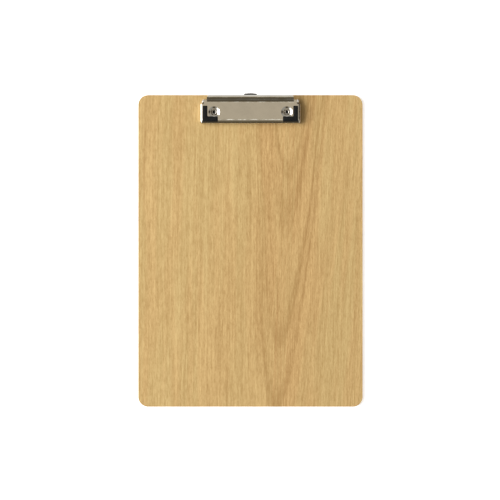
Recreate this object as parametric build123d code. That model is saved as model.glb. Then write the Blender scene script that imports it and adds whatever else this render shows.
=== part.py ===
from build123d import *
import os
from math import acos, atan2, cos, degrees, hypot, pi, radians, sin, sqrt, tan

# A letter-size clipboard with a sprung lever clip and a pull-out hanging tab, in millimetres.
# The board lies flat with its front face up (+Z) and its clip end towards +Y. The origin is the
# centre of the whole part's bounding box in X and Y, at the height of the rivet heads' lowest point.
# "Depth" below means the distance from the board's top edge, measured towards its foot (-Y).

# ---- Board ----
board_width = 228.6
board_length = 317.5
board_corner_radius = 10.0
core_thickness = 2.6
laminate_thickness = 0.2

# ---- Lever plate ----
clip_width = 102.0
clip_depth = 29.3
lever_sheet = 0.8
lever_edge_radius = 2.0
front_roll_radius = 12.0
front_roll_angle = 20.0
front_edge_radius = 2.2
shoulder_depth = 9.4
shoulder_corner_radius = 1.2
shoulder_step = 3.8
neck_edge_radius = 2.0
lip_side_step = 2.9
lip_bend_depth = 6.3
lip_bend_radius = 3.0
lip_angle = 42.0
lip_crest_depth = 2.5
lip_crest_radius = 2.2
lip_droop_angle = 12.0
lip_corner_radius = 3.2
skirt_clearance = 0.35
access_hole_radius = 3.9
access_dish_radius = 5.7
access_dish_depth = 1.0

# ---- Corner grips ----
grip_width = 15.5
grip_length = 16.3
grip_leg_width = 4.9
grip_toe_width = 5.5
grip_side_margin = 2.4
grip_front_margin = 2.0
grip_corner_radius = 0.8
grip_flange = 0.6
grip_flange_thickness = 1.6
grip_fit = 0.05
grip_board_gap = 0.1

# ---- Base plate ----
base_sheet = 0.8
base_rear_depth = 1.0
base_front_margin = 4.1
base_grip_gap = 0.8
base_corner_radius = 1.0
ear_gap = 0.5
ear_radius = 2.6
paper_stop_width = 7.0
paper_stop_height = 2.4
paper_stop_offset = 22.0

# ---- Hinge pin ----
pin_diameter = 2.2
pin_depth = 7.2
pin_roof_gap = 0.3
pin_base_fit = 0.03
pin_lever_fit = 0.06
pin_head_radius = 1.6
pin_head_length = 1.05
lever_ear_radius = 2.4

# ---- Torsion springs ----
spring_wire_diameter = 0.9
spring_pin_gap = 0.25
spring_pitch = 1.0
spring_full_turns = 4
spring_knee_radius = 1.5
spring_offset = 22.0
spring_lever_gap = 0.25
spring_foot_gap = 0.03
spring_lip_gap = 0.08
spring_foot_depth = 2.0
spring_tip_depth = 2.8

# ---- Rivets ----
rivet_spacing = 74.0
rivet_depth = 17.4
rivet_shank_radius = 1.9
rivet_hole_gap = 0.1
rivet_bore_radius = 1.45
rivet_bore_depth = 3.4
rivet_roll_radius = 3.3
rivet_roll_height = 0.9
rivet_head_radius = 4.5
rivet_head_thickness = 0.9
rivet_head_proud = 0.4
rivet_seat_radius = 5.0

# ---- Hanging tab ----
tab_width = 13.4
tab_thickness = 1.4
tab_reach = 1.8
tab_gap = 0.1
tab_side_gap = 0.25
tab_tip_rise = 0.5
tab_tip_radius = 1.6
tab_hole_radius = 3.0
tab_hole_setback = 5.5
tab_tail_width = 17.4
tab_tail_length = 3.2
tab_end_gap = 0.3
tab_bead_height = 0.5
tab_bead_length = 1.3
pocket_mouth_length = 3.0
pocket_front_land = 0.8

# ---- Levels, counted up from the lowest point of the rivet heads ----
back_z = rivet_head_proud
core_z = back_z + laminate_thickness
front_laminate_z = core_z + core_thickness
face_z = front_laminate_z + laminate_thickness
base_top_z = face_z + base_sheet
pocket_roof_z = face_z + tab_gap + tab_thickness + tab_gap
pocket_top_z = pocket_roof_z + base_sheet
pin_z = pocket_top_z + pin_roof_gap + pin_diameter / 2
coil_radius = pin_diameter / 2 + spring_pin_gap + spring_wire_diameter / 2
lever_under_z = pin_z + coil_radius + spring_wire_diameter / 2 + spring_lever_gap
lever_top_z = lever_under_z + lever_sheet
skirt_z = face_z + skirt_clearance

# ---- Positions along Y ----
top_edge_y = board_length / 2 - tab_reach / 2


def at_depth(depth):
    """Y of a line the given distance below the board's top edge."""
    return top_edge_y - depth


pin_y = at_depth(pin_depth)
rivet_y = at_depth(rivet_depth)
base_front_depth = rivet_depth + base_front_margin
rivet_xs = (-rivet_spacing / 2, rivet_spacing / 2)

# ---- Positions along X, on the +X side ----
grip_outer_x = clip_width / 2 - grip_side_margin
grip_front_depth = clip_depth - grip_front_margin
base_half_width = grip_outer_x - grip_leg_width - grip_flange - base_grip_gap
neck_half = clip_width / 2 - shoulder_step
lip_half = neck_half - lip_side_step
ear_inner_x = neck_half + ear_gap
ear_outer_x = ear_inner_x + base_sheet


def block(x_low, x_high, y_low, y_high, z_low, z_high):
    """Box between two opposite corners."""
    size = (x_high - x_low, y_high - y_low, z_high - z_low)
    centre = ((x_low + x_high) / 2, (y_low + y_high) / 2, (z_low + z_high) / 2)
    return Pos(*centre) * Box(*size)


def upright(x, y, radius, z_low, z_high):
    """Vertical cylinder."""
    return Pos(x, y, (z_low + z_high) / 2) * Cylinder(radius, z_high - z_low)


def round_vertical(solid, radius, wanted=lambda edge: True):
    """Fillet the vertical edges that the test picks."""
    return fillet([edge for edge in solid.edges().filter_by(Axis.Z) if wanted(edge)], radius)


def across(x_low, x_high, profile):
    """Carry a profile drawn in Y and Z along X."""
    return extrude(Plane.YZ.offset(x_low) * profile, x_high - x_low)


# ---- Board ----
def board_layer(z_low, thickness):
    """One layer of the board: rounded corners and the two rivet holes."""
    outline = RectangleRounded(board_width, board_length, board_corner_radius)
    layer = extrude(Pos(0, at_depth(board_length / 2), z_low) * outline, thickness)
    for x in rivet_xs:
        layer -= upright(x, rivet_y, rivet_shank_radius + rivet_hole_gap, 0, face_z + 1)
    return layer


def cut_head_seats(layer):
    """Sink the seats of the rivet heads into the back of a layer."""
    seat_top_z = rivet_head_thickness
    for x in rivet_xs:
        layer -= upright(x, rivet_y, rivet_seat_radius, back_z - 1, seat_top_z)
    return layer


# ---- Base plate ----
def pocket(side_grow, end_grow, z_high):
    """Stepped slot that the tab slides in: a narrow mouth, then the wider run of its tail."""
    mouth_half = tab_width / 2 + tab_side_gap + side_grow
    run_half = tab_tail_width / 2 + tab_side_gap + side_grow
    rear = at_depth(base_rear_depth)
    step = rear - pocket_mouth_length + end_grow
    front = at_depth(base_front_depth - pocket_front_land - base_sheet) - end_grow
    mouth = block(-mouth_half, mouth_half, front, rear, face_z, z_high)
    run = block(-run_half, run_half, front, step, face_z, z_high)
    return mouth + run


def base_ear(side):
    """Upturned end of the base plate that holds one end of the pin."""
    inner, outer = sorted((side * ear_inner_x, side * ear_outer_x))
    stem_height = pin_z - face_z
    stem = Pos(pin_y, face_z + stem_height / 2) * Rectangle(2 * ear_radius, stem_height)
    crown = Pos(pin_y, pin_z) * Circle(ear_radius)
    return across(inner, outer, stem + crown)


def clip_base_plate():
    """Riveted plate with the pin's ears, the tab's raised pocket and two paper stops."""
    front = at_depth(base_front_depth)
    rear = at_depth(base_rear_depth)
    body = block(-base_half_width, base_half_width, front, rear, face_z, base_top_z)
    body = round_vertical(body, base_corner_radius)
    arms = block(-ear_outer_x, ear_outer_x, pin_y - ear_radius, pin_y + ear_radius, face_z, base_top_z)
    plate = body + arms + base_ear(-1) + base_ear(1)
    for x in (-paper_stop_offset, paper_stop_offset):
        half = paper_stop_width / 2
        stop_top_z = face_z + paper_stop_height
        plate += block(x - half, x + half, front, front + base_sheet, face_z, stop_top_z)
    plate += pocket(base_sheet, base_sheet, pocket_top_z)
    plate -= pocket(0, 0, pocket_roof_z)
    for x in rivet_xs:
        plate -= upright(x, rivet_y, rivet_shank_radius + rivet_hole_gap, face_z - 1, base_top_z + 1)
    bore = Pos(pin_y, pin_z) * Circle(pin_diameter / 2 + pin_base_fit)
    return plate - across(-clip_width / 2, clip_width / 2, bore)


# ---- Lever plate ----
def tray(inset):
    """Block with the lever's outer shape, smaller by the inset at its top, sides and front.

    Its front rolls down through a wide arc and a tight one, and its sides have a round edge.
    """
    half_width = clip_width / 2 - inset
    rear, bottom = at_depth(0), face_z - 1
    front, top = at_depth(clip_depth) + inset, lever_top_z - inset
    wide, tight = front_roll_radius - inset, front_edge_radius - inset
    turn = radians(front_roll_angle)
    roll_end = (front + tight * (1 - sin(turn)), top - wide * (1 - cos(turn)))
    roll_start = (roll_end[0] + wide * sin(turn), top)
    edge_end = (front, roll_end[1] - tight * cos(turn))
    rest = Polyline(edge_end, (front, bottom), (rear, bottom), (rear, top), roll_start)
    roll = TangentArc(roll_start, roll_end, tangent=(-1, 0))
    edge = TangentArc(roll_end, edge_end, tangent=(-cos(turn), -sin(turn)))
    solid = across(-half_width, half_width, make_face(rest + roll + edge))
    sides = [face for face in solid.faces() if abs(face.center().X) > half_width - 0.01]
    rim = [line for side in sides for line in side.edges()]
    rim = [line for line in rim if line.center().Y < rear - 0.01 and line.center().Z > bottom + 0.01]
    return fillet(rim, lever_edge_radius - inset)


def lip():
    """Neck plate and thumb lip: a sheet bent up from the neck and turned down at its end."""
    mid_z = lever_top_z - lever_sheet / 2
    rise = (lip_bend_depth - lip_crest_depth) * tan(radians(lip_angle))
    crest_z = mid_z + rise
    tip_z = crest_z - lip_crest_depth * tan(radians(lip_droop_angle))
    path = FilletPolyline(
        (at_depth(shoulder_depth + lever_sheet), mid_z),
        (at_depth(lip_bend_depth), mid_z),
        (at_depth(lip_crest_depth), crest_z),
        (at_depth(0), tip_z),
        radius=[lip_bend_radius, lip_crest_radius],
    )
    front = at_depth(shoulder_depth + lever_sheet)
    strip = across(-lip_half, lip_half, trace(path, lever_sheet))
    outline = block(-lip_half, lip_half, front, at_depth(0), face_z, crest_z + lever_sheet)
    return strip & round_vertical(outline, lip_corner_radius, lambda edge: edge.center().Y > front + 1)


def right_lever_ear():
    """Ear folded down from the side of the neck, with the running hole for the pin."""
    front = at_depth(shoulder_depth + lever_sheet)
    fold = block(0, neck_half, front, at_depth(0), face_z, lever_top_z)
    fold = fillet(fold.edges().filter_by(Axis.Y).sort_by(Axis.X)[-1], neck_edge_radius)
    hollow = block(0, neck_half - lever_sheet, front, at_depth(0), face_z, lever_under_z)
    hollow = fillet(hollow.edges().filter_by(Axis.Y).sort_by(Axis.X)[-1], neck_edge_radius - lever_sheet)
    height = lever_top_z - pin_z
    web = Pos(pin_y, pin_z + height / 2) * Rectangle(2 * lever_ear_radius, height)
    eye = Pos(pin_y, pin_z) * Circle(lever_ear_radius)
    bore = Pos(pin_y, pin_z) * Circle(pin_diameter / 2 + pin_lever_fit)
    return (fold - hollow) & across(lip_half - lever_sheet, neck_half, web + eye - bore)


def grip_prism(inset, z_low, height):
    """L-shaped prism of the left corner grip, smaller all round by the inset."""
    outer = grip_outer_x - inset
    toe_inner = grip_outer_x - grip_width + inset
    leg_inner = grip_outer_x - grip_leg_width + inset
    front = at_depth(grip_front_depth - inset)
    toe_rear = at_depth(grip_front_depth - grip_toe_width + inset)
    leg_rear = at_depth(grip_front_depth - grip_length + inset)
    leg = block(-outer, -leg_inner, front, leg_rear, z_low, z_low + height)
    toe = block(-outer, -toe_inner, front, toe_rear, z_low, z_low + height)
    return round_vertical(leg + toe, grip_corner_radius)


def lever_plate():
    """Pressed lever: tray-shaped gripping part, neck, thumb lip, ears, windows and access holes."""
    half = clip_width / 2
    front = at_depth(clip_depth)
    shoulder = at_depth(shoulder_depth)
    keep = block(-half, half, front, shoulder, skirt_z, lever_top_z)
    keep = round_vertical(keep, shoulder_corner_radius, lambda edge: edge.center().Y > shoulder - 1)
    ear = right_lever_ear()
    shell = (tray(0) - tray(lever_sheet)) & keep
    plate = shell + lip() + ear + mirror(ear, about=Plane.YZ)
    for x in rivet_xs:
        cone = Cone(access_hole_radius, access_dish_radius, access_dish_depth)
        dish_z = lever_top_z - access_dish_depth / 2
        plate += Pos(x, rivet_y, dish_z - lever_sheet) * cone
        plate -= Pos(x, rivet_y, dish_z) * cone
        plate -= upright(x, rivet_y, access_hole_radius, face_z, lever_top_z)
    window_z = lever_under_z - access_dish_depth - lever_sheet
    window = grip_prism(0, window_z, lever_top_z - window_z)
    return plate - window - mirror(window, about=Plane.YZ)


# ---- Corner grips ----
def left_corner_grip():
    """Rubber pad under the lever with a plug that fills the lever's window flush with its top."""
    pad_z = face_z + grip_board_gap
    flange_z = lever_under_z - grip_flange_thickness
    pad = grip_prism(0, pad_z, lever_under_z - pad_z)
    flange = grip_prism(-grip_flange, flange_z, grip_flange_thickness)
    dish_room = access_dish_radius + grip_fit
    room = upright(rivet_xs[0], rivet_y, dish_room, pad_z, lever_under_z)
    body = (pad + flange) & tray(lever_sheet)
    plug = grip_prism(grip_fit, flange_z, lever_top_z - flange_z) & tray(0)
    return plug + (body - room)


# ---- Hinge pin ----
def hinge_pin():
    """Pin through both pairs of ears, with a formed head outside each base ear."""
    head_x = ear_outer_x + pin_base_fit
    rod = across(-head_x, head_x, Pos(pin_y, pin_z) * Circle(pin_diameter / 2))
    head = across(head_x, head_x + pin_head_length, Pos(pin_y, pin_z) * Circle(pin_head_radius))
    head = fillet(head.edges().sort_by(Axis.X)[-1], pin_head_length / 2)
    return rod + head + mirror(head, about=Plane.YZ)


# ---- Springs ----
def left_torsion_spring():
    """A coil round the pin with a foot on the base plate and a tip that bends up under the lip.

    It is drawn with its first axis along Y, its second along Z and the coil's axis along X.
    The foot leaves the coil at its underside, tangent to it, and the tip leaves at its top.
    """
    wire = spring_wire_diameter / 2
    foot_y = pin_depth - spring_foot_depth
    foot_z = base_top_z + spring_foot_gap + wire - pin_z
    foot_reach = hypot(foot_y, foot_z)
    foot_angle = degrees(atan2(foot_z, foot_y) - acos(coil_radius / foot_reach))
    coil_length = spring_pitch * (spring_full_turns + (foot_angle + 270) / 360)
    helix = Rot(0, 0, foot_angle) * Helix(spring_pitch, coil_length, coil_radius, lefthand=True)
    climb = spring_pitch / (2 * pi * coil_radius)
    foot_start = (foot_y, foot_z, -climb * sqrt(foot_reach**2 - coil_radius**2))
    foot = Line(foot_start, helix @ 0)

    slope = radians(lip_angle)
    offset = lever_sheet / 2 + spring_lip_gap + wire
    line_y = pin_depth - lip_bend_depth + offset * sin(slope)
    line_z = lever_top_z - lever_sheet / 2 - pin_z - offset * cos(slope)
    knee_y = line_y + (coil_radius - line_z) / tan(slope)
    knee_x = coil_length + climb * knee_y
    tip_y = pin_depth - spring_tip_depth
    tip_z = line_z + (tip_y - line_y) * tan(slope)
    tip = FilletPolyline(
        helix @ 1,
        (knee_y, coil_radius, knee_x),
        (tip_y, tip_z, knee_x),
        radius=spring_knee_radius,
    )
    path = Wire([foot, helix, *tip.edges()])
    spring = sweep(Plane(origin=path @ 0, z_dir=path % 0) * Circle(wire), path=path)
    start_x = -spring_offset - coil_length / 2
    return Plane.YZ.offset(start_x) * (Pos(pin_y, pin_z) * spring)


# ---- Rivets ----
def rivet(x):
    """Semi-tubular rivet: low domed head at the back, hollow end rolled over on the base plate."""
    seat_z = rivet_head_thickness
    end_z = base_top_z + rivet_roll_height
    head = upright(0, 0, rivet_head_radius, 0, seat_z)
    head = fillet(head.edges().sort_by(Axis.Z)[0], rivet_head_proud)
    shank = upright(0, 0, rivet_shank_radius, seat_z, base_top_z)
    roll = upright(0, 0, rivet_roll_radius, base_top_z, end_z)
    roll = fillet(roll.edges().sort_by(Axis.Z)[-1], rivet_roll_height / 2)
    bore = upright(0, 0, rivet_bore_radius, end_z - rivet_bore_depth, end_z)
    return Pos(x, rivet_y, 0) * (head + shank + roll - bore)


# ---- Hanging tab ----
def hanger():
    """Sliding tab with a hole near its tip, a finger bead and a wider tail that stops it."""
    tip = at_depth(-tab_reach)
    tail = at_depth(base_front_depth - pocket_front_land - base_sheet - tab_end_gap)
    z_low = face_z + tab_gap
    half = tab_width / 2
    shoulder = tip - tab_tip_rise
    crown = ThreePointArc((-half, shoulder), (0, tip), (half, shoulder))
    sides = Polyline((half, shoulder), (half, tail), (-half, tail), (-half, shoulder))
    outline = make_face(crown + sides)
    tongue = extrude(Pos(0, 0, z_low) * outline, tab_thickness)
    bead_rear = tip - tab_bead_length
    bead = extrude(Pos(0, 0, z_low) * outline, tab_thickness + tab_bead_height)
    bead &= block(-half, half, bead_rear, tip, z_low, z_low + tab_thickness + tab_bead_height)
    tongue = round_vertical(tongue + bead, tab_tip_radius, lambda edge: edge.center().Y > bead_rear)
    tail_half = tab_tail_width / 2
    foot = block(-tail_half, tail_half, tail, tail + tab_tail_length, z_low, z_low + tab_thickness)
    hole = upright(0, tip - tab_hole_setback, tab_hole_radius, face_z - 1, pin_z)
    return tongue + foot - hole


left_grip = left_corner_grip()
left_spring = left_torsion_spring()
parts = {
    "board_core": cut_head_seats(board_layer(core_z, core_thickness)),
    "front_laminate": board_layer(front_laminate_z, laminate_thickness),
    "back_laminate": cut_head_seats(board_layer(back_z, laminate_thickness)),
    "clip_base_plate": clip_base_plate(),
    "lever_plate": lever_plate(),
    "hinge_pin": hinge_pin(),
    "left_spring": left_spring,
    "right_spring": mirror(left_spring, about=Plane.YZ),
    "left_grip": left_grip,
    "right_grip": mirror(left_grip, about=Plane.YZ),
    "left_rivet": rivet(rivet_xs[0]),
    "right_rivet": rivet(rivet_xs[1]),
    "hanger": hanger(),
}

os.makedirs("parts", exist_ok=True)
for name, solid in parts.items():
    export_step(solid, f"parts/{name}.step")
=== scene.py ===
"""Looks of a letter-size clipboard with a sprung lever clip and a pull-out hanging tab.

The CAD frame gives every place; lengths here are in metres, with +Z up and the clip towards +Y.
Flat pressed pieces keep their CAD shape and get a finish. Round and rubber pieces are surfaces
worked out on a grid, which stand for their CAD nodes.
"""

import bpy
import numpy as np
from bpy.props import FloatProperty, FloatVectorProperty, IntProperty, PointerProperty
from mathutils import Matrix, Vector


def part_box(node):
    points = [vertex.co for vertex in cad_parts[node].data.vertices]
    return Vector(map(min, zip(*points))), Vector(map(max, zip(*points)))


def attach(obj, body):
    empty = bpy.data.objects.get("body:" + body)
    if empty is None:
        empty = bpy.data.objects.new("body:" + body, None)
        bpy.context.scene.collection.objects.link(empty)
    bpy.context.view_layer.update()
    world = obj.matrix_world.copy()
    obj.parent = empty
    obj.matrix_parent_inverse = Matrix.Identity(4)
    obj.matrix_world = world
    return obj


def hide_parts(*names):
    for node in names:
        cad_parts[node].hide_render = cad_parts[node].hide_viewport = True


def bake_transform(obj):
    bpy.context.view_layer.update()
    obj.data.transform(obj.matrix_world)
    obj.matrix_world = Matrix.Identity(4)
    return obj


bl_info = {
    "name": "Clipboard looks",
    "version": (1, 0, 0),
    "blender": (4, 5, 0),
    "location": "3D View > Sidebar > Clipboard",
    "description": "Finishes and soft-edged pieces for a letter-size clipboard with a sprung clip",
    "category": "Object",
}

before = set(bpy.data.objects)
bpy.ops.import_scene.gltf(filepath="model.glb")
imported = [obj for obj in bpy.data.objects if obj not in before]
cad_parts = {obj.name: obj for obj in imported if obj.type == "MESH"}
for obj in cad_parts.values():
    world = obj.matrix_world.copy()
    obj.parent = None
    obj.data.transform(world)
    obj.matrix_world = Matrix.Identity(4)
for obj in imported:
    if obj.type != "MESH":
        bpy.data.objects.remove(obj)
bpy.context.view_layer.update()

MM = 0.001
# Dark rings of the wood print: each stop has a ring number, as a share of the range, and the
# darkness there
RING_RANGE = 60
RING_STOPS = (
    (0.300, 0.0),
    (0.325, 0.9),
    (0.345, 0.1),
    (0.375, 0.55),
    (0.410, 0.50),
    (0.430, 0.0),
    (0.520, 0.1),
    (0.548, 1.0),
    (0.562, 0.15),
    (0.590, 0.1),
    (0.610, 0.9),
    (0.630, 0.0),
)
# Way to the white wall, seen from above: mostly -X and a little -Y
WALL_SIDE = (0.94, 0.34)
ROOM_COLOURS = {
    "overhead": (0.62, 0.55, 0.43),
    "outwards": (0.10, 0.08, 0.045),
    "behind": (0.92, 0.92, 0.90),
    "right": (0.05, 0.042, 0.03),
    "diagonal": (0.42, 0.41, 0.38),
    "low_strip": (0.19, 0.18, 0.155),
    "wall_foot": (0.7, 0.7, 0.68),
    "wall": (2.3, 2.3, 2.25),
    "bright_spot": (2.0, 2.0, 1.9),
}
# Half the floor's width, and how far it goes down
FLOOR_HALF, FLOOR_THICKNESS = 6.0, 0.05
# Points along a spring: in its foot, in a turn of its coil, in its knee and in its upper leg
FOOT_POINTS, TURN_POINTS, KNEE_POINTS, LEG_POINTS = 12, 40, 9, 9


def middle(node):
    """Centre of a CAD node's box."""
    low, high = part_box(node)
    return (low + high) / 2


# ---- Sizes and colours a user would change ----
def length(name, description, millimetres):
    """A length property with its default in millimetres."""
    return FloatProperty(
        name=name, description=description, default=millimetres * MM, min=0, unit="LENGTH", precision=5
    )


def colour(name, description, default):
    """A colour property."""
    return FloatVectorProperty(
        name=name, description=description, default=default, subtype="COLOR", size=3, min=0, max=1
    )


class ClipboardBoardLook(bpy.types.PropertyGroup):
    """The printed skins and the fibreboard between them."""

    light: colour("Light wood", "Print colour of the pale grain", (0.507, 0.368, 0.168))
    dark: colour("Dark wood", "Print colour of the dark grain", (0.315, 0.200, 0.074))
    blush_light: colour("Light blush", "Pale grain beside the heart line", (0.535, 0.350, 0.154))
    blush: colour("Dark blush", "Dark grain beside the heart line", (0.289, 0.163, 0.059))
    heart: length("Heart line", "How far right of the middle the arched figure runs", 34.5)
    core: colour("Fibreboard", "Colour of the board's raw edge", (0.235, 0.130, 0.062))


class ClipboardClipLook(bpy.types.PropertyGroup):
    """The metal, rubber and plastic of the clip."""

    chrome: colour("Chrome", "Tint of the bright plating", (0.66, 0.635, 0.585))
    nickel: colour("Nickel", "Tint of the pin and the rivets", (0.60, 0.57, 0.52))
    wire: colour("Spring wire", "Tint of the drawn spring steel", (0.34, 0.34, 0.35))
    rubber: colour("Rubber", "Colour of the corner grips", (0.0040, 0.0043, 0.0040))
    plastic: colour("Plastic", "Colour of the hanging tab", (0.004, 0.004, 0.004))


class ClipboardSpringSizes(bpy.types.PropertyGroup):
    """The two torsion springs on the pin."""

    wire: length("Wire", "Wire diameter", 0.9)
    coil: length("Coil radius", "Radius of the coil's centre line", 1.8)
    pitch: length("Pitch", "Advance of the coil in one turn", 1.0)
    turns: IntProperty(name="Turns", description="Whole turns of the coil", default=4, min=1, max=8)
    offset: length("Offset", "Distance of each coil from the clip's middle", 22.0)
    knee: length("Knee radius", "Bend of the upper leg", 1.5)


class ClipboardGripSizes(bpy.types.PropertyGroup):
    """The L-shaped rubber grips in the lever's corners."""

    leg: length("Leg width", "Width of the arm along the clip's side", 4.9)
    toe: length("Toe width", "Width of the arm along the clip's front", 5.5)
    flange: length("Flange", "How far the flange reaches under the lever", 0.6)
    corner: length("Corner radius", "Rounding of the outline's corners", 0.8)
    edge: length("Edge radius", "Rounding of the top edge", 0.45)
    crown: length("Crown", "How far the middle stands over the edges", 0.12)
    roll: length("Roll radius", "Radius of the lever's rolled front, which the grips follow", 12.0)
    roll_depth: length("Roll depth", "How far behind the lever's front face the roll starts", 5.55)


class ClipboardStage(bpy.types.PropertyGroup):
    """Floor, light and camera."""

    floor: colour("Floor", "Colour of the plain floor", (0.92, 0.92, 0.92))
    room: FloatProperty(name="Room light", description="Strength of the room", default=1.0, min=0)
    key: FloatProperty(
        name="Side light", description="Power of the light at the left", default=150, min=0, unit="POWER"
    )
    height: FloatProperty(
        name="Camera height", description="Height over the floor", default=6.0, min=0.5, unit="LENGTH"
    )
    width: FloatProperty(
        name="View width",
        description="Width of the view at the board",
        default=0.5094,
        min=0.1,
        unit="LENGTH",
    )


# ---- Shader sums ----
class Term:
    """A socket of a node tree. Sums on it add the Math nodes that work them out."""

    def __init__(self, tree, socket=None):
        self.tree = tree
        self.socket = socket

    def node(self, kind, settings=None, inputs=None, output=0):
        """Add a node: first its settings, or a ramp's stops, then its sockets' values or links."""
        node = self.tree.nodes.new(kind)
        for name, value in (settings or {}).items():
            if name == "stops":
                fill_ramp(node.color_ramp, value)
            else:
                setattr(node, name, value)
        for name, value in (inputs or {}).items():
            if isinstance(value, Term):
                self.tree.links.new(value.socket, node.inputs[name])
            else:
                node.inputs[name].default_value = value
        return Term(self.tree, node.outputs[output] if node.outputs else None)

    def math(self, operation, *values):
        """A Math node on the given numbers or terms."""
        return self.node("ShaderNodeMath", {"operation": operation}, dict(enumerate(values)))

    def __add__(self, other):
        return self.math("ADD", self, other)

    def __radd__(self, other):
        return self.math("ADD", other, self)

    def __sub__(self, other):
        return self.math("SUBTRACT", self, other)

    def __rsub__(self, other):
        return self.math("SUBTRACT", other, self)

    def __mul__(self, other):
        return self.math("MULTIPLY", self, other)

    def __truediv__(self, other):
        return self.math("DIVIDE", self, other)

    def __pow__(self, other):
        return self.math("POWER", self, other)

    def __abs__(self):
        return self.math("ABSOLUTE", self)

    def rise(self, low, high):
        """0 below low, 1 above high and a smooth step between them."""
        limits = {"Value": self, "From Min": low, "From Max": high}
        return self.node("ShaderNodeMapRange", {"interpolation_type": "SMOOTHSTEP"}, limits)

    def axes(self):
        """The three components of a vector."""
        parts = self.node("ShaderNodeSeparateXYZ", inputs={0: self})
        return [Term(self.tree, output) for output in parts.socket.node.outputs]

    def vector(self, x, y, z):
        """A vector of three numbers or terms."""
        return self.node("ShaderNodeCombineXYZ", inputs={0: x, 1: y, 2: z})

    def noise(self, place, scale=1.0, detail=2.0, roughness=0.5):
        """Smooth noise from 0 to 1, about its middle value 0.5."""
        inputs = {"Vector": place, "Scale": scale, "Detail": detail, "Roughness": roughness}
        return self.node("ShaderNodeTexNoise", inputs=inputs)

    def mix(self, factor, first, second):
        """Colour between two colours."""
        inputs = {0: factor, 6: paint(first), 7: paint(second)}
        return self.node("ShaderNodeMix", {"data_type": "RGBA"}, inputs, output=2)

    def bump(self, height, depth):
        """Normal of a surface whose height term runs over the given depth."""
        return self.node("ShaderNodeBump", inputs={"Height": height, "Distance": depth})


def fill_ramp(ramp, stops):
    """Give a colour ramp its stops, each a place and a grey value."""
    while len(ramp.elements) < len(stops):
        ramp.elements.new(0.5)
    for element, (place, grey) in zip(ramp.elements, stops):
        element.position = place
        element.color = (grey, grey, grey, 1.0)


def paint(value):
    """A colour with its alpha, or a term as it is."""
    return value if isinstance(value, Term) else (*value, 1.0)


def start_finish(name):
    """A new material, and its Object coordinates in millimetres."""
    material = bpy.data.materials.new(name)
    material.use_nodes = True
    material.node_tree.nodes.clear()
    tree = Term(material.node_tree)
    place = tree.node("ShaderNodeTexCoord", output=3)
    scale = {0: place, 3: 1 / MM}
    return material, tree.node("ShaderNodeVectorMath", {"operation": "SCALE"}, scale)


def end_finish(material, **sockets):
    """Join the given values and terms to the material's one shader."""
    tree = Term(material.node_tree)
    inputs = {name.replace("_", " "): value for name, value in sockets.items()}
    shader = tree.node("ShaderNodeBsdfPrincipled", inputs=inputs)
    tree.node("ShaderNodeOutputMaterial", inputs={"Surface": shader})
    return material


# ---- Finishes ----
def beech_print(look):
    """Beech-pattern laminate: straight grain that runs into a figure of nested arches.

    A ring's number is the square root of the squared distance from the heart line plus a taper
    times the distance below the clip end. Equal numbers lie on parabolas that point to the foot
    and run straight at the sides, about a number apart for each millimetre across. The grain is
    noise over the ring number, stretched along the rings, with darker rings at chosen numbers.
    The two sides of the heart line read the noise far apart, so that they don't mirror.
    """
    material, place = start_finish("beech_print_finish")
    x, y, z = place.axes()
    lean, wander, clip_end, taper = 0.05, 7.0, 170.0, 4.1
    half_seam, side_shift = 8.0, 200.0
    drift = place.noise(place.vector(x * 0.016, y * 0.007, z * 0.01), detail=1)
    heart = y * lean + look.heart / MM
    across = x + (drift - 0.5) * wander - heart
    ring = (across * across + (clip_end - y) * taper) ** 0.5
    side = across.rise(-half_seam, half_seam)
    grain = ring + side * side_shift
    slow = place.noise(place.vector(grain * 0.16, y * 0.0025, 1.9), detail=1)
    streak = place.noise(place.vector(grain * 0.42, y * 0.007, 1.9), detail=2, roughness=0.6)
    fibre = place.noise(place.vector(x * 0.75 + ring * 0.2, y * 0.11, 5.3), detail=2, roughness=0.7)
    line = place.noise(place.vector(x * 0.95, y * 0.016, 3.4), detail=1)
    pore = place.noise(place.vector(x * 1.05, y * 0.22, 2.2), detail=1).rise(0.54, 0.70)
    fleck = place.noise(place.vector(x * 3.6, y * 0.42, 7.7), detail=1).rise(0.56, 0.68)
    near = 1.0 - abs(across).rise(18.0, 58.0)
    dark_ring = place.node("ShaderNodeValToRGB", {"stops": RING_STOPS}, {"Fac": ring * (1 / RING_RANGE)})
    tone = (slow - 0.5) * 0.4 + (streak - 0.5) * 0.9 + (fibre - 0.5) * 1.25 + (line - 0.5) * 0.8
    tone = tone + pore * 0.2 + fleck * 0.3 + near * (dark_ring * 0.4 + 0.04)
    tone = (tone + 0.31).rise(-0.45, 1.25)
    warm = place.noise(place.vector(grain * 0.09, y * 0.005, 8.1), detail=1).rise(0.38, 0.62)
    wood = place.mix(tone, look.light, look.dark)
    blush = place.mix(tone, look.blush_light, look.blush)
    wood = place.mix(near * 0.35 + warm * 0.45, wood, blush)
    relief = pore * -0.6 + fibre * 0.5
    return end_finish(
        material,
        Base_Color=wood,
        Roughness=0.56 + fibre * 0.10,
        Normal=place.bump(relief, 0.02 * MM),
        Specular_IOR_Level=0.1,
    )


def fibreboard(look):
    """Raw edge of pressed wood fibre: short crossed fibres that lie along the layers."""
    material, place = start_finish("fibreboard_finish")
    x, y, z = place.axes()
    felt = place.noise(place.vector(x * 0.9, y * 0.9, z * 3.0), detail=4, roughness=0.65)
    fleck = place.noise(place.vector(x * 2.6, y * 2.6, z * 7.0), detail=1).rise(0.58, 0.72)
    pale = tuple(min(1.0, 1.65 * part) for part in look.core)
    body = place.mix(felt.rise(0.3, 0.7), look.core, pale)
    body = place.mix(fleck * 0.5, body, tuple(0.45 * part for part in look.core))
    return end_finish(
        material,
        Base_Color=body,
        Roughness=0.78 + felt * 0.12,
        Normal=place.bump(felt, 0.08 * MM),
    )


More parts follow.
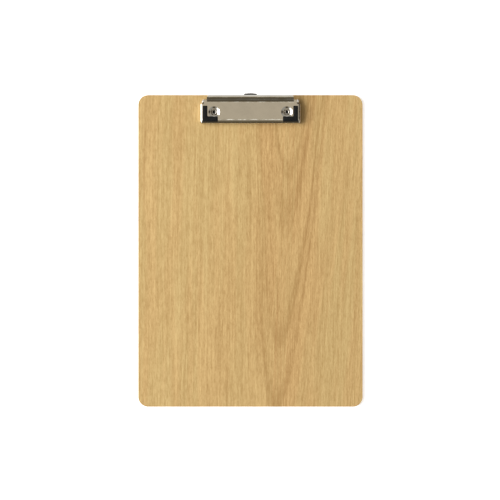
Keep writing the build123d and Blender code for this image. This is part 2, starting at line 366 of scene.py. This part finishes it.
def plated(name, tint, gloss, wave, well=None):
    """Bright plating: soft smears in the gloss, a slow press wave and faint polishing lines.

    Between the two heights of a well, in millimetres, the plating is darkened nearly to black as painted
    shade inside the bore.
    """
    well_fade = 0.3
    material, place = start_finish(name)
    x, y, z = place.axes()
    smear = place.noise(place, scale=0.07, detail=3, roughness=0.6)
    lines = place.noise(place.vector(x * 0.05, y * 3.0, z * 3.0), detail=2)
    spot = place.noise(place, scale=0.9, detail=1).rise(0.66, 0.78)
    tarnish = place.mix(smear.rise(0.35, 0.75) * 0.5, tint, tuple(0.88 * part for part in tint))
    height = place.noise(place, scale=0.06, detail=1) + lines * 0.004
    body = place.mix(spot * 0.12, tarnish, tuple(0.6 * part for part in tint))
    if well:
        bottom, top = well
        # Painted shade: between the well's heights the plating turns near black, standing for the shade
        # inside the bore
        painted_bore_shade = z.rise(bottom, bottom + well_fade) * (1.0 - z.rise(top - well_fade, top))
        body = place.mix(painted_bore_shade, body, tuple(0.06 * part for part in tint))
    return end_finish(
        material,
        Base_Color=body,
        Metallic=1.0,
        Roughness=gloss + smear * 0.05 + lines * 0.02 + spot * 0.05,
        Normal=place.bump(height, wave),
    )


def drawn_wire(tint):
    """Spring steel: fine draw lines round the coil and a thin oil film."""
    material, place = start_finish("drawn_wire_finish")
    x, y, z = place.axes()
    lines = place.noise(place.vector(x * 6.0, y * 0.8, z * 0.8), detail=3)
    film = place.noise(place, scale=0.5, detail=2)
    dark = tuple(0.55 * part for part in tint)
    return end_finish(
        material,
        Base_Color=place.mix(film.rise(0.35, 0.7), tint, dark),
        Metallic=1.0,
        Roughness=0.24 + lines * 0.14,
        Normal=place.bump(lines, 0.01 * MM),
    )


def grip_rubber(tint):
    """Moulded black rubber: fine matt grain and dusty patches."""
    material, place = start_finish("grip_rubber_finish")
    grain = place.noise(place, scale=3.2, detail=3, roughness=0.6)
    dust = place.noise(place, scale=0.35, detail=2).rise(0.45, 0.75)
    dusty = tuple(0.006 + part for part in tint)
    return end_finish(
        material,
        Base_Color=place.mix(dust * 0.6, tint, dusty),
        Roughness=0.50 + grain * 0.2,
        Normal=place.bump(grain, 0.02 * MM),
        Specular_IOR_Level=0.12,
    )


def moulded_plastic(tint):
    """Black moulded plastic with a light spark texture and scuffs along the slide."""
    material, place = start_finish("black_plastic_finish")
    x, y, z = place.axes()
    spark = place.noise(place, scale=4.0, detail=2)
    scuff = place.noise(place.vector(x * 2.5, y * 0.12, z), detail=2).rise(0.6, 0.8)
    return end_finish(
        material,
        Base_Color=place.mix(scuff * 0.35, tint, tuple(0.02 + part for part in tint)),
        Roughness=0.46 + spark * 0.12 + scuff * 0.1,
        Normal=place.bump(spark, 0.008 * MM),
        Specular_IOR_Level=0.12,
    )


# ---- Surfaces on a grid ----
def grid_quads(rows, columns):
    """Corner numbers of a grid's quads, row by row, its last column joined to its first."""
    row, column = np.meshgrid(np.arange(rows - 1), np.arange(columns), indexing="ij")
    after = (column + 1) % columns
    here, above = row * columns, (row + 1) * columns
    return np.stack((here + column, here + after, above + after, above + column), axis=-1).reshape(-1, 4)


def volume(points, quads):
    """Volume inside the quads, which is negative where they face inwards."""
    a, b, c, d = (points[quads[:, corner]] for corner in range(4))
    return (np.einsum("ij,ij->i", a, np.cross(b, c)) + np.einsum("ij,ij->i", a, np.cross(c, d))).sum() / 6


def closed_piece(name, grid, sharp_angle):
    """Mesh object of a tube-like grid (rows, columns, xyz) whose two open ends get a flat face."""
    rows, columns = grid.shape[:2]
    points = grid.reshape(-1, 3)
    quads = grid_quads(rows, columns)
    ring = np.arange(columns)
    ends = [ring[::-1], ring + (rows - 1) * columns]
    if volume(points - points.mean(0), quads) < 0:
        quads = quads[:, ::-1]
        ends = [end[::-1] for end in ends]
    mesh = bpy.data.meshes.new(name)
    mesh.from_pydata(points.tolist(), [], quads.tolist() + [end.tolist() for end in ends])
    mesh.shade_smooth()
    mesh.set_sharp_from_angle(angle=np.radians(sharp_angle))
    piece = bpy.data.objects.new(name, mesh)
    bpy.context.scene.collection.objects.link(piece)
    return piece


def turned(profile, centre, axis, steps):
    """Surface of revolution: each profile point (radius, place along the axis) runs a full circle.

    The two axes across the turning axis carry the circle's cosine and sine.
    """
    profile = np.asarray(profile)
    angle = np.linspace(0, 2 * np.pi, steps, endpoint=False)
    grid = np.empty((len(profile), steps, 3))
    grid[..., axis] = profile[:, 1, None] + centre[axis]
    grid[..., (axis + 1) % 3] = profile[:, :1] * np.cos(angle) + centre[(axis + 1) % 3]
    grid[..., (axis + 2) % 3] = profile[:, :1] * np.sin(angle) + centre[(axis + 2) % 3]
    return grid


def carried(line, radius, steps, side):
    """Tube along a line, as rings square to it. The side is a direction the line never takes."""
    along = np.gradient(line, axis=0)
    along /= np.linalg.norm(along, axis=1, keepdims=True)
    first = np.cross(along, side)
    first /= np.linalg.norm(first, axis=1, keepdims=True)
    second = np.cross(along, first)
    angle = np.linspace(0, 2 * np.pi, steps, endpoint=False)[:, None]
    return line[:, None] + radius * (first[:, None] * np.cos(angle) + second[:, None] * np.sin(angle))


def arc(centre, radius, start, end, count):
    """Points of a circle's arc, from one angle in degrees to another."""
    angle = np.radians(np.linspace(start, end, count))
    return np.stack((centre[0] + radius * np.cos(angle), centre[1] + radius * np.sin(angle)), axis=-1)


def dress(node, material):
    """Give a CAD node's slots the material."""
    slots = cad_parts[node].material_slots
    if not slots:
        raise RuntimeError(f"CAD node {node} has no material slot")
    for slot in slots:
        slot.material = material


def settle(piece, material, body, node):
    """Give a new piece its material, its body and the CAD node that it stands for."""
    piece.data.materials.append(material)
    if body:
        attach(piece, body)
    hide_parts(node)


# ---- Pieces ----
def rivet_profile(node):
    """Radius and height of a semi-tubular rivet, from its back head up and down into its bore.

    The head is a low dome with a round edge, the shank is straight, and the end is rolled over
    in half an ellipse between its bore and its outer radius.
    """
    low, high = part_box(node)
    head, shank, roll, bore = (high.x - low.x) / 2, 1.9 * MM, 3.3 * MM, 1.45 * MM
    seat, plate = 0.9 * MM, high.z - 0.9 * MM
    dome_rise, edge_radius, edge_height, roll_gap = 0.12 * MM, 0.4 * MM, 0.5 * MM, 0.1 * MM
    bore_depth, tip_depth, tip_radius = 2.2 * MM, 2.5 * MM, 0.3 * MM
    turn = np.linspace(0, np.pi, 15)
    dome_radius = np.linspace(edge_radius, head - edge_radius, 6)
    dome = np.stack((dome_radius, dome_rise * (dome_radius / head) ** 2 + low.z), axis=-1)
    edge = arc((head - edge_radius, edge_height), edge_radius, -70, 0, 6)
    stem = [(head, seat), (shank, seat), (shank, plate), (roll - roll_gap, plate)]
    ring = np.stack(
        ((roll + bore) / 2 + (roll - bore) / 2 * np.cos(turn), plate + (high.z - plate) * np.sin(turn)),
        axis=-1,
    )
    well = [(bore, plate - bore_depth), (tip_radius, plate - tip_depth)]
    return np.vstack((dome, edge, stem, ring, well))


def pin_profile():
    """Radius and place along X of the hinge pin, with a peened dome outside each base ear."""
    low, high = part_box("hinge_pin")
    head, rod, half = (high.z - low.z) / 2, 1.1 * MM, high.x
    dome_height, head_height = 0.8 * MM, 1.05 * MM
    inner = half - head_height
    angle = np.radians(np.linspace(8, 82, 9))
    dome = np.stack((head * np.sin(angle), half - dome_height + dome_height * np.cos(angle)), axis=-1)
    right = np.vstack((dome, [(head, half - dome_height), (head, inner), (rod, inner)]))
    return np.vstack((right, right[::-1] * (1, -1)))


def spring_line(sizes):
    """Centre line of the left spring: foot, coil and upper leg, about the pin's axis.

    The coil is a helix, y and z from the cosine and sine of a falling angle and x in step with it.
    The foot is the straight tangent to its start. The leg leaves its end level, bends through an
    arc of the knee's radius and then follows the underside of the lip. Foot, knee and tip are
    places across the pin's axis, and the slope is that of the lip.
    """
    slope = np.radians(42.0)
    foot = np.array((5.2, -2.52)) * MM
    knee = np.array((1.068 * MM, sizes.coil))
    tip = np.array((4.4, 4.80)) * MM
    reach = np.hypot(*foot)
    foot_turn = np.arctan2(foot[1], foot[0]) - np.arccos(sizes.coil / reach)
    total = 2 * np.pi * sizes.turns + foot_turn + 1.5 * np.pi
    climb = sizes.pitch / (2 * np.pi)
    turn = np.linspace(0, total, TURN_POINTS * sizes.turns)
    angle = foot_turn - turn
    coil = np.stack((climb * turn, sizes.coil * np.cos(angle), sizes.coil * np.sin(angle)), axis=-1)
    run = np.sqrt(reach**2 - sizes.coil**2)
    foot_end = np.array((-climb * run / sizes.coil, *foot))
    share = np.linspace(0, 1, FOOT_POINTS, endpoint=False)[:, None]
    foot_run = foot_end + share * (coil[0] - foot_end)
    leg_x = coil[-1, 0] + climb * knee[0] / sizes.coil
    bend = np.linspace(0, slope, KNEE_POINTS)
    setback = sizes.knee * np.tan(slope / 2)
    knee_y = knee[0] - setback + sizes.knee * np.sin(bend)
    knee_z = knee[1] + sizes.knee * (1 - np.cos(bend))
    knee_run = np.stack((np.full(KNEE_POINTS, leg_x), knee_y, knee_z), axis=-1)
    tip_end = np.array((leg_x, *tip))
    share = np.linspace(0, 1, LEG_POINTS + 1)[1:, None]
    leg_run = knee_run[-1] + share * (tip_end - knee_run[-1])
    line = np.vstack((foot_run, coil, knee_run, leg_run))
    line[:, 0] -= sizes.offset + coil[-1, 0] / 2
    pin = middle("hinge_pin")
    return line + (0.0, pin.y, pin.z)


def corner_outline(corners, insets, radius, steps):
    """Rounded outline of a right-angled shape, one row for each row of insets (rows, edges).

    Each edge moves in by its own inset, and each corner becomes a quarter circle whose radius
    shrinks with the inset where the corner points out and grows with it where it points in.
    """
    least_radius = 0.1 * MM
    edges = np.roll(corners, -1, axis=0) - corners
    along = edges / np.linalg.norm(edges, axis=1, keepdims=True)
    inward = np.stack((-along[:, 1], along[:, 0]), axis=-1)
    before, before_in = np.roll(along, 1, axis=0), np.roll(inward, 1, axis=0)
    points_out = before[:, 0] * along[:, 1] - before[:, 1] * along[:, 0]
    moved = corners + insets[..., None] * inward + np.roll(insets, 1, axis=1)[..., None] * before_in
    inset = (insets + np.roll(insets, 1, axis=1)) / 2
    rounding = np.maximum(radius - points_out * inset, least_radius)[..., None, None]
    centre = moved[:, :, None] + rounding * (along - before)[:, None]
    angle = np.linspace(0, np.pi / 2, steps)[:, None]
    turn = before[:, None] * np.sin(angle) - along[:, None] * np.cos(angle)
    return (centre + rounding * turn).reshape(len(insets), -1, 2)


def grip_grid(sizes):
    """Left corner grip as nested L-shaped outlines, from its underside up to its crowned top.

    The pad under the lever stands on a rounded foot, the flange under the sheet is wider, and the
    plug fills the window. The toe's rear edge keeps clear of the pressed dish below the sheet.
    From the flange up, each point drops by the lever's roll: a circle's rise less its height.
    """
    sheet, foot_radius, flange_height, toe_clearance = 0.8 * MM, 0.4 * MM, MM, 1.45 * MM
    under_gap, plug_gap, crown_start, crown_end = 0.02 * MM, 0.05 * MM, 0.3 * MM, 2.3 * MM
    low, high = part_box("left_grip")
    outer, inner = low.x + sizes.flange, high.x - sizes.flange
    front, rear = low.y + sizes.flange, high.y - sizes.flange
    corners = np.array(
        (
            (outer, front),
            (inner, front),
            (inner, front + sizes.toe),
            (outer + sizes.leg, front + sizes.toe),
            (outer + sizes.leg, rear),
            (outer, rear),
        )
    )
    sheet_under = high.z - sheet
    turn = np.radians(np.linspace(0, 90, 7))
    foot = np.stack((foot_radius * (1 - np.sin(turn)), low.z + foot_radius * (1 - np.cos(turn))), axis=-1)
    flange_under, flange_top = sheet_under - flange_height, sheet_under - under_gap
    flange = [(0.0, flange_under), (-sizes.flange, flange_under), (-sizes.flange, flange_top)]
    plug = [(plug_gap, flange_top)]
    edge_z = high.z - sizes.crown - sizes.edge
    edge = np.stack(
        (plug_gap + sizes.edge * (1 - np.cos(turn)), edge_z + sizes.edge * np.sin(turn)), axis=-1
    )
    crown_in = np.linspace(sizes.edge + crown_start, crown_end, 5)
    rise = 1 - (1 - (crown_in - crown_in[0]) / (crown_in[-1] - crown_in[0])) ** 2
    crown = np.stack((crown_in, high.z - sizes.crown * (1 - rise)), axis=-1)
    profile = np.vstack((foot, flange, plug, edge, crown))
    insets = np.repeat(profile[:, :1], len(corners), axis=1)
    below_sheet = profile[:, 1] < sheet_under
    toe_rear = 2
    insets[below_sheet, toe_rear] = np.maximum(insets[below_sheet, toe_rear], toe_clearance)
    outline = corner_outline(corners, insets, sizes.corner, 7)
    roll_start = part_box("lever_plate")[0].y + sizes.roll_depth
    into_roll = np.clip(roll_start - outline[..., 1], 0, sizes.roll)
    drop = sizes.roll - np.sqrt(sizes.roll**2 - into_roll**2)
    just_under = flange_under - 0.1 * MM
    heights = profile[:, 1, None] - drop * (profile[:, 1, None] > just_under)
    return np.dstack((outline, heights))


# ---- Stage ----
def studio_room(strength):
    """Surroundings by direction.

    Khaki overhead that darkens outwards, with paler diagonals, a pale wall behind the clip, a dark
    right side, a grey strip low down, a white wall at the left a little towards the foot, and a
    small bright spot nearly overhead, towards the foot.
    """
    colours = ROOM_COLOURS
    world = bpy.data.worlds.new("studio_room")
    world.use_nodes = True
    world.node_tree.nodes.clear()
    tree = Term(world.node_tree)
    x, y, z = tree.node("ShaderNodeTexCoord").axes()
    outwards = (x * x + y * y) ** 0.5
    room = tree.mix(outwards.rise(0.05, 0.65), colours["overhead"], colours["outwards"])
    behind = y.rise(0.16, 0.34) * (1.0 - abs(x).rise(0.45, 0.65))
    room = tree.mix(behind, room, colours["behind"])
    room = tree.mix(x.rise(0.12, 0.40), room, colours["right"])
    diagonal = x * y
    corner = abs(diagonal).rise(0.04, 0.34)
    room = tree.mix(corner, room, colours["diagonal"])
    low_strip = (1.0 - z.rise(0.10, 0.17)) * (1.0 - x.rise(0.10, 0.40))
    room = tree.mix(low_strip, room, colours["low_strip"])
    towards = x * -WALL_SIDE[0] - y * WALL_SIDE[1]
    beside = x * WALL_SIDE[1] - y * WALL_SIDE[0]
    turned_away = abs(beside) / towards.math("MAXIMUM", towards, 0.01)
    wall = towards.rise(0.17, 0.32) * (1.0 - turned_away.rise(0.40, 0.80))
    room = tree.mix(wall, room, tree.mix(z.rise(0.1, 0.45), colours["wall_foot"], colours["wall"]))
    spot_x, spot_y = x - 0.01, y + 0.2
    spot = 1.0 - abs(spot_x).rise(0.002, 0.012)
    spot = spot * (1.0 - abs(spot_y).rise(0.03, 0.06))
    room = tree.mix(spot, room, colours["bright_spot"])
    shader = tree.node("ShaderNodeBackground", inputs={"Color": room, "Strength": strength})
    tree.node("ShaderNodeOutputWorld", inputs={"Surface": shader})
    return world


def floor_slab(half, thickness, tint):
    """Plain square floor, its top at height 0, on which the clipboard rests."""
    corners = np.array(((-half, -half), (half, -half), (half, half), (-half, half)))
    heights = np.array((-thickness, 0.0))
    grid = np.empty((2, 4, 3))
    grid[..., :2] = corners
    grid[..., 2] = heights[:, None]
    floor = closed_piece("floor", grid, sharp_angle=30)
    material, place = start_finish("floor_paint")
    mottle = place.noise(place, scale=0.004, detail=2)
    shade = place.mix(mottle * 0.3, tint, tuple(0.97 * part for part in tint))
    finish = end_finish(
        material,
        Base_Color=shade,
        Roughness=0.9,
        Specular_IOR_Level=0.1,
        Emission_Color=shade,
        Emission_Strength=0.6,
    )
    floor.data.materials.append(finish)
    return floor


def side_light(power):
    """Large soft light at the left, a little towards the clip's end."""
    lamp = bpy.data.lights.new("side_light", "AREA")
    lamp.shape = "RECTANGLE"
    lamp.size = 2.6
    lamp.size_y = 2.0
    lamp.energy = power
    light = bpy.data.objects.new("side_light", lamp)
    light.location = (-2.4, 0.25, 1.7)
    light.rotation_euler = (-light.location).to_track_quat("-Z", "Y").to_euler()
    light.visible_camera = False
    bpy.context.scene.collection.objects.link(light)


def overhead_camera(stage):
    """Camera straight above the board, the clip at the top of its view."""
    board = middle("front_laminate")
    shift_x, shift_y = -0.4 * MM, 0.9 * MM
    lens = bpy.data.cameras.new("camera")
    lens.sensor_width = 36.0
    lens.lens = lens.sensor_width * (stage.height - board.z) / stage.width
    lens.clip_end = 50.0
    camera = bpy.data.objects.new("camera", lens)
    camera.location = Vector((board.x + shift_x, board.y + shift_y, stage.height))
    bpy.context.scene.collection.objects.link(camera)
    bpy.context.scene.camera = camera


# ---- Operators ----
class CLIPBOARD_OT_stage(bpy.types.Operator):
    """Add the floor, the light and the camera"""

    bl_idname = "clipboard.stage"
    bl_label = "Stage"

    def execute(self, context):
        stage = context.scene.clipboard_stage
        overhead_camera(stage)
        context.scene.world = studio_room(stage.room)
        context.scene.view_settings.view_transform = "Standard"
        side_light(stage.key)
        floor_slab(FLOOR_HALF, FLOOR_THICKNESS, stage.floor)
        return {"FINISHED"}


class CLIPBOARD_OT_board(bpy.types.Operator):
    """Print the two skins and finish the fibreboard between them"""

    bl_idname = "clipboard.board"
    bl_label = "Board"

    def execute(self, context):
        look = context.scene.clipboard_board
        print_finish = beech_print(look)
        dress("front_laminate", print_finish)
        dress("back_laminate", print_finish)
        dress("board_core", fibreboard(look))
        return {"FINISHED"}


class CLIPBOARD_OT_pressings(bpy.types.Operator):
    """Plate the lever and the base plate"""

    bl_idname = "clipboard.pressings"
    bl_label = "Lever and base plate"

    def execute(self, context):
        look = context.scene.clipboard_clip
        lever_finish = plated("lever_chrome_finish", look.chrome, gloss=0.03, wave=0.2 * MM)
        dress("lever_plate", lever_finish)
        base_finish = plated("base_plate_finish", look.nickel, gloss=0.10, wave=0.08 * MM)
        dress("clip_base_plate", base_finish)
        return {"FINISHED"}


class CLIPBOARD_OT_rivets(bpy.types.Operator):
    """Make the two rolled rivets"""

    bl_idname = "clipboard.rivets"
    bl_label = "Rivets"

    def execute(self, context):
        tint = context.scene.clipboard_clip.nickel
        # The well's heights get painted shade, which darkens the rivet's bore
        finish = plated("rivet_finish", tint, gloss=0.12, wave=0.02 * MM, well=(1.1, 4.6))
        for node in ("left_rivet", "right_rivet"):
            centre = middle(node) * Vector((1, 1, 0))
            grid = turned(rivet_profile(node), centre, axis=2, steps=64)
            piece = closed_piece(node + "_rolled", grid, sharp_angle=40)
            settle(piece, finish, "board", node)
        return {"FINISHED"}


class CLIPBOARD_OT_pin(bpy.types.Operator):
    """Make the hinge pin with its peened ends"""

    bl_idname = "clipboard.pin"
    bl_label = "Hinge pin"

    def execute(self, context):
        finish = plated("pin_finish", context.scene.clipboard_clip.nickel, gloss=0.14, wave=0.01 * MM)
        grid = turned(pin_profile(), middle("hinge_pin"), axis=0, steps=48)
        piece = closed_piece("hinge_pin_peened", grid, sharp_angle=40)
        settle(piece, finish, "board", "hinge_pin")
        return {"FINISHED"}


class CLIPBOARD_OT_springs(bpy.types.Operator):
    """Wind the two torsion springs on the pin, between the board and the lever"""

    bl_idname = "clipboard.springs"
    bl_label = "Springs"

    def execute(self, context):
        sizes = context.scene.clipboard_spring
        finish = drawn_wire(context.scene.clipboard_clip.wire)
        left_line = spring_line(sizes)
        # The coil's first point, and its last but one
        foot_x, tip_x = left_line[FOOT_POINTS, 0], left_line[-(KNEE_POINTS + LEG_POINTS + 2), 0]
        pin = middle("hinge_pin")
        for node, side in (("left_spring", 1), ("right_spring", -1)):
            line = left_line * (side, 1, 1)
            grid = carried(line, sizes.wire / 2, steps=14, side=(1.0, 0.0, 0.0))
            piece = closed_piece(node + "_wound", grid, sharp_angle=60)
            settle(piece, finish, None, node)
            start, end = ((side * x, pin.y, pin.z) for x in (foot_x, tip_x))
            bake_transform(piece)
        return {"FINISHED"}


class CLIPBOARD_OT_grips(bpy.types.Operator):
    """Mould the two corner grips"""

    bl_idname = "clipboard.grips"
    bl_label = "Corner grips"

    def execute(self, context):
        finish = grip_rubber(context.scene.clipboard_clip.rubber)
        grid = grip_grid(context.scene.clipboard_grip)
        for node, side in (("left_grip", 1), ("right_grip", -1)):
            piece = closed_piece(node + "_moulded", grid * (side, 1, 1), sharp_angle=50)
            settle(piece, finish, "lever", node)
        return {"FINISHED"}


class CLIPBOARD_OT_hanger(bpy.types.Operator):
    """Finish the hanging tab"""

    bl_idname = "clipboard.hanger"
    bl_label = "Hanging tab"

    def execute(self, context):
        dress("hanger", moulded_plastic(context.scene.clipboard_clip.plastic))
        return {"FINISHED"}


GROUPS = {
    "clipboard_stage": ClipboardStage,
    "clipboard_board": ClipboardBoardLook,
    "clipboard_clip": ClipboardClipLook,
    "clipboard_spring": ClipboardSpringSizes,
    "clipboard_grip": ClipboardGripSizes,
}
OPERATORS = (
    CLIPBOARD_OT_stage,
    CLIPBOARD_OT_board,
    CLIPBOARD_OT_pressings,
    CLIPBOARD_OT_rivets,
    CLIPBOARD_OT_pin,
    CLIPBOARD_OT_springs,
    CLIPBOARD_OT_grips,
    CLIPBOARD_OT_hanger,
)


class VIEW3D_PT_clipboard(bpy.types.Panel):
    """Sizes, colours and steps of the clipboard"""

    bl_label = "Clipboard"
    bl_idname = "VIEW3D_PT_clipboard"
    bl_space_type = "VIEW_3D"
    bl_region_type = "UI"
    bl_category = "Clipboard"

    def draw(self, context):
        for name, group in GROUPS.items():
            box = self.layout.box()
            box.label(text=group.bl_rna.description)
            for value in group.__annotations__:
                box.prop(getattr(context.scene, name), value)
        for operator in OPERATORS:
            self.layout.operator(operator.bl_idname)


def register():
    for name, group in GROUPS.items():
        bpy.utils.register_class(group)
        setattr(bpy.types.Scene, name, PointerProperty(type=group))
    for item in (*OPERATORS, VIEW3D_PT_clipboard):
        bpy.utils.register_class(item)


def unregister():
    for item in (VIEW3D_PT_clipboard, *reversed(OPERATORS)):
        bpy.utils.unregister_class(item)
    for name, group in reversed(GROUPS.items()):
        delattr(bpy.types.Scene, name)
        bpy.utils.unregister_class(group)


def main():
    register()
    for operator in OPERATORS:
        group, step = operator.bl_idname.split(".")
        getattr(getattr(bpy.ops, group), step)()


if __name__ == "__main__":
    main()
